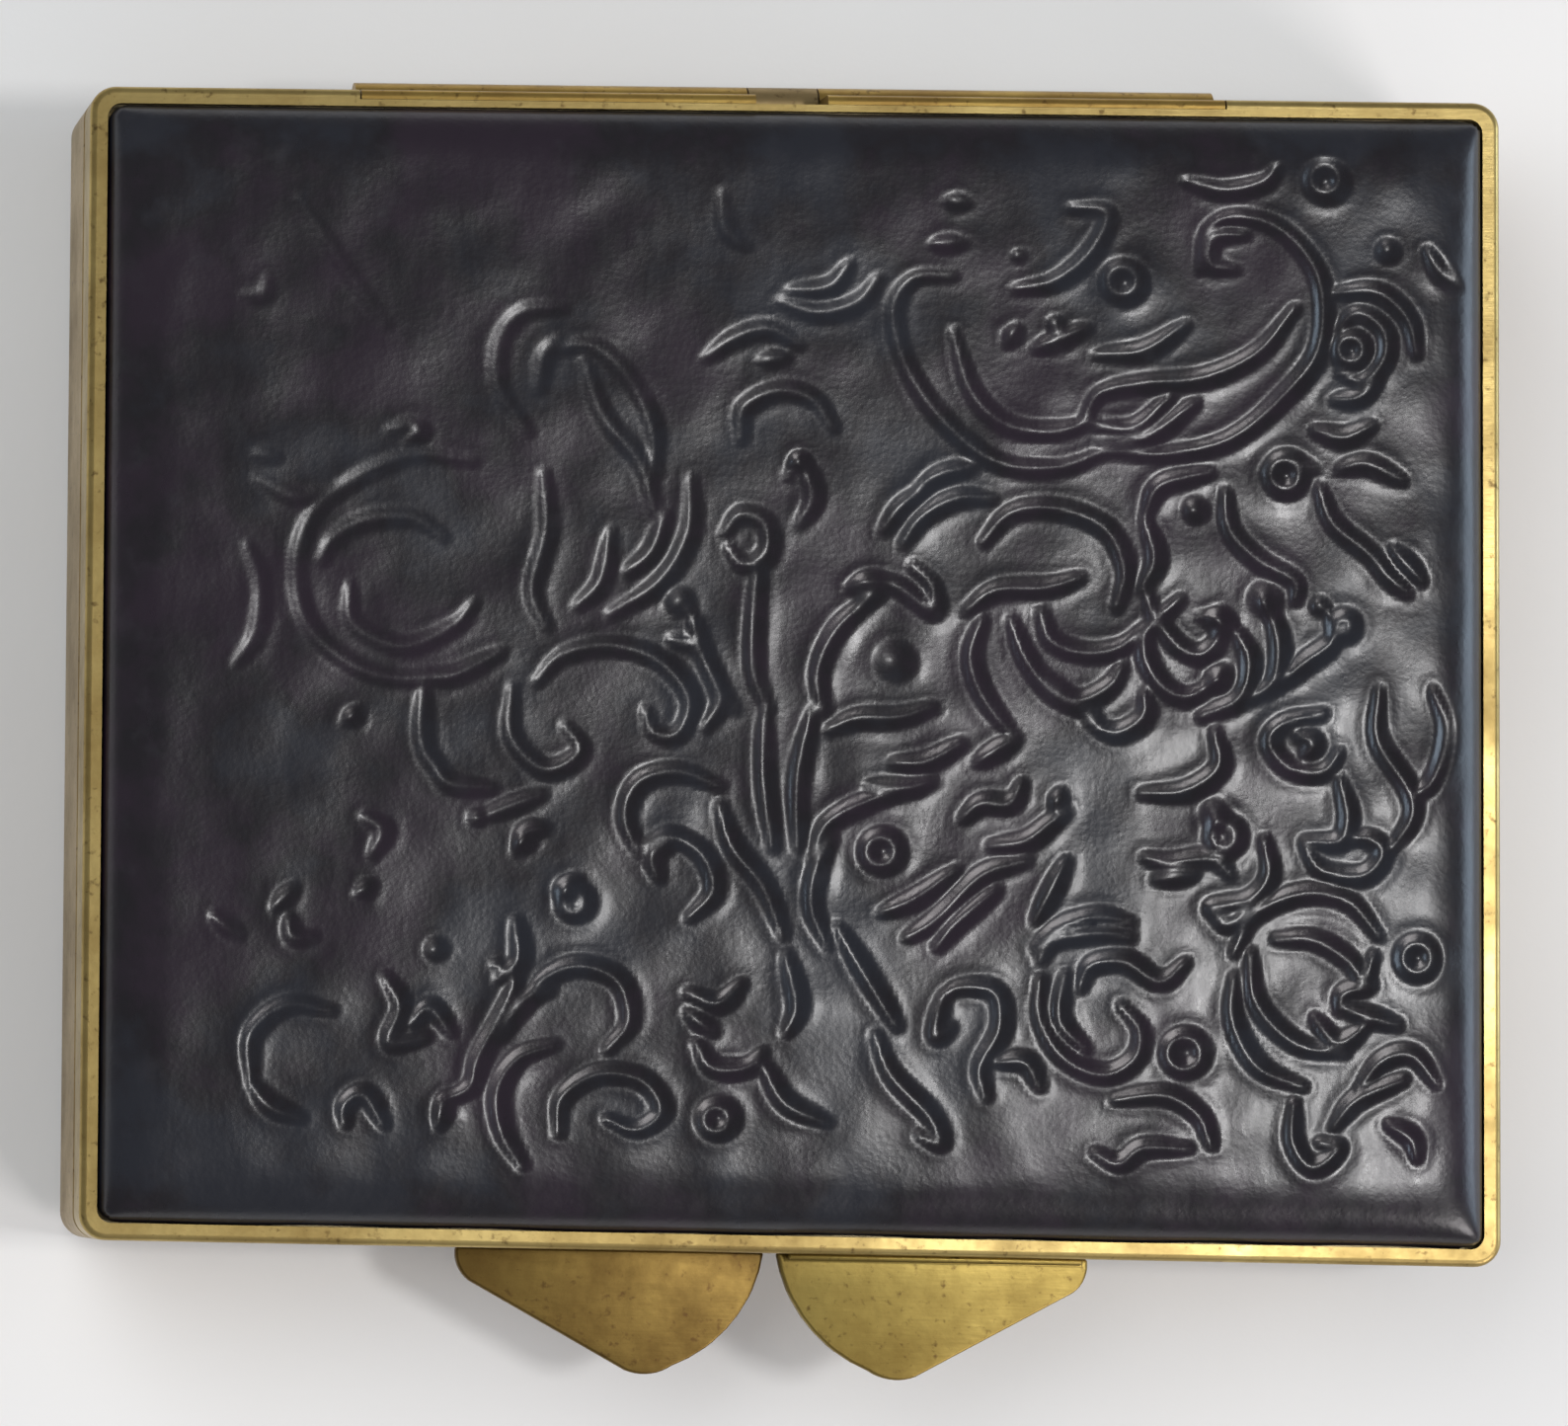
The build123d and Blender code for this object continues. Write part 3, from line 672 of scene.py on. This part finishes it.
@dataclass
class LeatherPanel:
    """One padded leather panel, a pillow gripped all round by the turned-in edge of its frame.

    All sizes are in millimetres. up is 1 for the lid's panel and -1 for the one under the base.
    """

    name: str
    node: str
    body: str
    up: int
    edge_z: float
    back_z: float
    rise: float
    crown: float
    shoulder: float
    half_width: float
    half_depth: float
    relief_scale: float
    columns: int = 300
    rows: int = 246
    corner: float = 1.1
    waviness: float = 0.13
    ornament: Ornament = field(default_factory=Ornament)

    def plan(self) -> tuple[np.ndarray, np.ndarray, np.ndarray]:
        """Lays out the grid in plan, closer together at the edges and round at the corners.

        Returns:
            Places across, places along and the distance in from the edge.
        """
        u = np.linspace(-1, 1, self.columns)
        v = np.linspace(-1, 1, self.rows)
        u = 0.78 * u + 0.22 * np.sin(0.5 * np.pi * u)
        v = 0.78 * v + 0.22 * np.sin(0.5 * np.pi * v)
        x, y = np.meshgrid(u * self.half_width, v * self.half_depth)
        wave = self.waviness * (np.sin(x / 5.1 + 1.0) * np.sin(x / 2.3) + 0.6 * np.sin(y / 4.3))
        y = y - wave * np.clip(np.abs(y) / self.half_depth, 0, 1) ** 8 * np.sign(y) * 0.5
        corner_x = self.half_width - self.corner
        corner_y = self.half_depth - self.corner
        out_x = np.maximum(np.abs(x) - corner_x, 0)
        out_y = np.maximum(np.abs(y) - corner_y, 0)
        out = np.hypot(out_x, out_y)
        past = (out_x > 0) & (out_y > 0) & (out > self.corner)
        x = np.where(past, np.sign(x) * (corner_x + out_x * self.corner / np.maximum(out, 1e-6)), x)
        y = np.where(past, np.sign(y) * (corner_y + out_y * self.corner / np.maximum(out, 1e-6)), y)
        to_side = np.maximum(self.half_width - np.abs(x), 1e-4)
        to_end = np.maximum(self.half_depth - np.abs(y), 1e-4)
        inside = 1 / np.sqrt(to_side ** -2 + to_end ** -2)
        return x, y, np.where(past, 0, inside)

    def level(self, x: np.ndarray, y: np.ndarray, inside: np.ndarray) -> np.ndarray:
        """Returns how far the leather stands proud of its edge at each place."""
        run = np.clip(inside / self.shoulder, 0, 1)
        roll = (1 - (1 - run) ** 2.6) ** (1 / 2.0)
        bow = (1 - (x / self.half_width) ** 4) * (1 - (y / self.half_depth) ** 4)
        flat = np.clip((inside - 0.8) / 2.4, 0, 1)
        relief = self.ornament.height(x, y, self.up) * flat * self.relief_scale
        return self.rise * roll + self.crown * bow + relief

    def make(self, material: bpy.types.Material) -> bpy.types.Object:
        """Models the panel as a closed pillow and fixes it to its body.

        Args:
            material: The leather.

        Returns:
            The finished piece.
        """
        bpy.ops.object.select_all(action="DESELECT")
        bpy.ops.mesh.primitive_grid_add(
            x_subdivisions=self.columns - 1, y_subdivisions=self.rows - 1, size=2
        )
        piece = bpy.context.active_object
        piece.name = self.name
        x, y, inside = self.plan()
        z = self.edge_z + self.up * self.level(x, y, inside)
        places = np.column_stack([x.ravel(), y.ravel(), z.ravel()]) * MM
        piece.data.vertices.foreach_set("co", places.ravel())
        bpy.ops.object.mode_set(mode="EDIT")
        bpy.ops.mesh.select_all(action="DESELECT")
        bpy.ops.mesh.select_mode(type="EDGE")
        bpy.ops.mesh.select_non_manifold()
        bpy.ops.mesh.extrude_region_move(TRANSFORM_OT_translate={"value": (0, 0, 0)})
        bpy.ops.transform.resize(value=(1, 1, 0), center_override=(0, 0, self.back_z * MM))
        bpy.ops.mesh.edge_face_add()
        bpy.ops.mesh.select_all(action="SELECT")
        bpy.ops.mesh.remove_doubles(threshold=0.001 * MM)
        bpy.ops.mesh.normals_make_consistent(inside=False)
        bpy.ops.object.mode_set(mode="OBJECT")
        smooth(piece, 60)
        dress(piece, material)
        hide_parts(self.node)
        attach(piece, self.body)
        log.info("%s: %d faces", self.name, len(piece.data.polygons))
        return piece


@dataclass
class ThumbTabs:
    """The two wing-shaped tabs, their edges rounded by wear."""

    rounding: float = 0.16 * MM

    def make(self) -> None:
        """Models both tabs and fixes each to its half of the box."""
        for node, tone, body in (
            ("lid_thumb_tab", Tone.LID_TAB, "lid"),
            # The base tab gets the darker brass tone, which is painted shade.
            ("base_thumb_tab", Tone.BASE_TAB_PAINTED_SHADE, "base"),
        ):
            tab = softened_copy(node, f"{node}_worn", self.rounding, AgedBrass(tone, 0.34).build())
            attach(tab, body)
            log.info("%s: %d faces", tab.name, len(tab.data.polygons))


@dataclass
class TrayLining:
    """The velvet in the tray: a crowned floor pad and a soft band round the walls."""

    pad_crown: float = 0.30 * MM
    edge_roll: float = 0.9 * MM
    edge_height: float = 0.35
    headroom: float = 0.25 * MM
    unevenness: float = 0.08 * MM
    pad_cuts: int = 40
    band_rounding: float = 0.22 * MM

    def make_pad(self, velvet: bpy.types.Material) -> bpy.types.Object:
        """Models the floor pad, crowned in the middle and rolled down at its edges."""
        low, high = (Vector(corner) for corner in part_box("floor_lining"))
        middle = (low + high) / 2
        half = (high - low) / 2
        bpy.ops.object.select_all(action="DESELECT")
        bpy.ops.mesh.primitive_cube_add(size=2)
        pad = bpy.context.active_object
        pad.name = "tray_floor_pad"
        bpy.ops.object.mode_set(mode="EDIT")
        bpy.ops.mesh.subdivide(number_cuts=self.pad_cuts)
        bpy.ops.object.mode_set(mode="OBJECT")
        for vertex in pad.data.vertices:
            x, y, z = vertex.co
            inside = min((1 - abs(x)) * half.x, (1 - abs(y)) * half.y)
            roll = math.sqrt(max(0.0, 1 - (1 - min(inside / self.edge_roll, 1)) ** 2))
            bow = self.pad_crown * (1 - (1 - x * x) * (1 - y * y))
            share = self.edge_height + (1 - self.edge_height) * roll
            top = low.z + (2 * half.z - bow - self.headroom) * share
            top += self.unevenness * noise.noise(Vector((x * 9, y * 7, 0)))
            height = low.z + (top - low.z) * (z + 1) / 2
            vertex.co = (middle.x + x * half.x, middle.y + y * half.y, height)
        smooth(pad, 60)
        dress(pad, velvet)
        return pad

    def make(self) -> None:
        """Models the linings and fixes them in the base."""
        velvet = Velvet().build()
        pad = self.make_pad(velvet)
        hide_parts("floor_lining")
        band = softened_copy("wall_lining", "tray_wall_band", self.band_rounding, velvet)
        for piece, fill in ((pad, 0.5), (band, 0.3)):
            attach(piece, "base")
            log.info("%s: %d faces", piece.name, len(piece.data.polygons))


@dataclass
class PackedPieces:
    """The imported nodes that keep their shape, each with its finish."""

    def finishes(self) -> dict[str, bpy.types.Material]:
        """Returns each node's material by the node's name."""
        rim = AgedBrass(Tone.RIM).build()
        barrel = AgedBrass(Tone.BARREL, 0.28).build()
        wall = AgedBrass(Tone.WALL, 0.36).build()
        plate = PlainStuff("tinned_plate", (0.20, 0.16, 0.09), (0.34, 0.28, 0.16), 0.5, 0.8, 0.5).build()
        card = PlainStuff("brown_card", (0.20, 0.15, 0.09), (0.30, 0.23, 0.15)).build()
        cotton = PlainStuff("cotton_wadding", (0.55, 0.52, 0.46), (0.75, 0.72, 0.66), 0.6).build()
        steel = PlainStuff("spring_steel", (0.22, 0.20, 0.17), (0.42, 0.40, 0.37), 0.4, 0.95, 0.4).build()
        return {
            "lid_frame": rim,
            "base_frame": wall,
            "lid_hinge_knuckle_left": barrel,
            "lid_hinge_knuckle_right": barrel,
            "base_hinge_knuckle": wall,
            "hinge_pin": steel,
            "tray_collar": wall,
            "mirror_frame": rim,
            "lid_catch_hook": rim,
            "catch_rivets": rim,
            "catch_spring": steel,
            "lid_core_plate": plate,
            "base_core_plate": plate,
            "lid_backing_board": card,
            "tray_floor_board": card,
            "lid_padding": cotton,
            "base_padding": cotton,
            "lid_mirror": MirrorGlass().build(),
        }

    def dress_all(self, nodes: dict[str, bpy.types.Object]) -> None:
        """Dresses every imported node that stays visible.

        Args:
            nodes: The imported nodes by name.
        """
        for name, material in self.finishes().items():
            dress(nodes[name], material)
            log.info("%s dressed in %s", name, material.name)


# ---------------------------------------------------------------- stage
@dataclass
class Studio:
    """The pale cloth, the lamps, the world and the camera."""

    floor_size: float = 3.0
    sideways_shift: float = 1.088
    camera_place: Vector = field(default_factory=lambda: Vector((-79.9, -27.6, 410.0)) * MM)
    camera_turn: tuple[float, float, float] = (3.42, 2.53, 1.01)
    focal_length: float = 158.7
    sensor_width: float = 36.0

    def make_floor(self) -> None:
        """Adds the pale cloth that the box lies on."""
        bpy.ops.object.select_all(action="DESELECT")
        bpy.ops.mesh.primitive_plane_add(size=self.floor_size, location=(0, 0, -0.05 * MM))
        floor = bpy.context.active_object
        floor.name = "pale_cloth"
        surface = Surface("pale_cloth")
        clouds = surface.noise(60 * MM, 3.0)
        shades = [(0.3, (0.68, 0.67, 0.66)), (0.7, (0.74, 0.74, 0.735))]
        surface.drive("Base Color", surface.ramp(clouds, shades))
        surface.set(Roughness=0.95, Specular_IOR_Level=0.1)
        surface.bump([(surface.noise(0.8 * MM, 3.0), 0.15, 0.1 * MM)])
        dress(floor, surface.material)

    def lamp(self, name: str, place: tuple[float, float, float], size: float, power: float,
             colour: Colour = (1, 1, 1)) -> bpy.types.Object:
        """Adds a square soft lamp that faces the box.

        Args:
            name: The lamp's name.
            place: Where it hangs, in metres.
            size: Its side.
            power: Its power in watts.
            colour: The colour of its light.

        Returns:
            The lamp.
        """
        data = bpy.data.lights.new(name, "AREA")
        data.size = size
        data.energy = power
        data.color = colour
        lamp = bpy.data.objects.new(name, data)
        lamp.location = place
        lamp.rotation_euler = (-Vector(place)).to_track_quat("-Z", "Y").to_euler()
        bpy.context.scene.collection.objects.link(lamp)
        return lamp

    def make_light(self) -> None:
        """Adds the lamps, a fill at the back left that leaves no reflection, and an even world."""
        self.lamp("overhead_right", (0.24, -0.03, 0.60), 0.09, 1.2, (1.0, 0.99, 0.99))
        self.lamp("front_right", (0.42, -0.40, 0.36), 0.26, 2.2, (1.0, 0.95, 0.95))
        self.lamp("right_window", (0.70, 0.05, 0.14), 0.30, 1.4, (0.66, 0.82, 1.0))
        fill = self.lamp("back_left", (-0.50, 0.30, 0.55), 0.90, 5.5, (0.98, 0.99, 1.0))
        fill.visible_glossy = False
        world = bpy.data.worlds.new("even_world")
        world.use_nodes = True
        world.node_tree.nodes["Background"].inputs["Color"].default_value = (0.95, 0.97, 1.0, 1)
        world.node_tree.nodes["Background"].inputs["Strength"].default_value = 0.28
        bpy.context.scene.world = world

    def make_camera(self) -> None:
        """Places the camera above the front left of the box, looking almost straight down."""
        data = bpy.data.cameras.new("view")
        data.lens = self.focal_length
        data.sensor_width = self.sensor_width
        data.shift_x = self.sideways_shift
        data.clip_start = 0.01
        camera = bpy.data.objects.new("view", data)
        turn = Vector(math.radians(angle) for angle in self.camera_turn)
        camera.matrix_world = Matrix.Translation(self.camera_place) @ Matrix.Rotation(
            turn.length, 4, turn.normalized()
        )
        bpy.context.scene.collection.objects.link(camera)
        bpy.context.scene.camera = camera

    def make(self) -> None:
        """Sets up the whole stage."""
        self.make_floor()
        self.make_light()
        self.make_camera()
        bpy.context.scene.view_settings.view_transform = "Standard"


def main() -> None:
    """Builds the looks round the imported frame."""
    logging.basicConfig(level=logging.INFO, format="%(message)s")
    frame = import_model()
    NODES.update(frame["nodes"])
    Studio().make()
    PackedPieces().dress_all(frame["nodes"])
    leather = PolishedLeather().build()
    LeatherPanel(
        name="lid_embossed_leather", node="lid_leather", body="lid", up=1, edge_z=12.30, back_z=11.62,
        rise=2.32, crown=0.55, shoulder=3.9, relief_scale=1.0,
        half_width=PANEL_HALF_WIDTH, half_depth=PANEL_HALF_DEPTH,
    ).make(leather)
    LeatherPanel(
        name="base_embossed_leather", node="base_leather", body="base", up=-1, edge_z=1.60, back_z=2.28,
        rise=1.46, crown=0.0, shoulder=2.6, relief_scale=0.45,
        half_width=PANEL_HALF_WIDTH, half_depth=PANEL_HALF_DEPTH, columns=220, rows=180,
    ).make(leather)
    ThumbTabs().make()
    TrayLining().make()


if __name__ == "__main__":
    main()
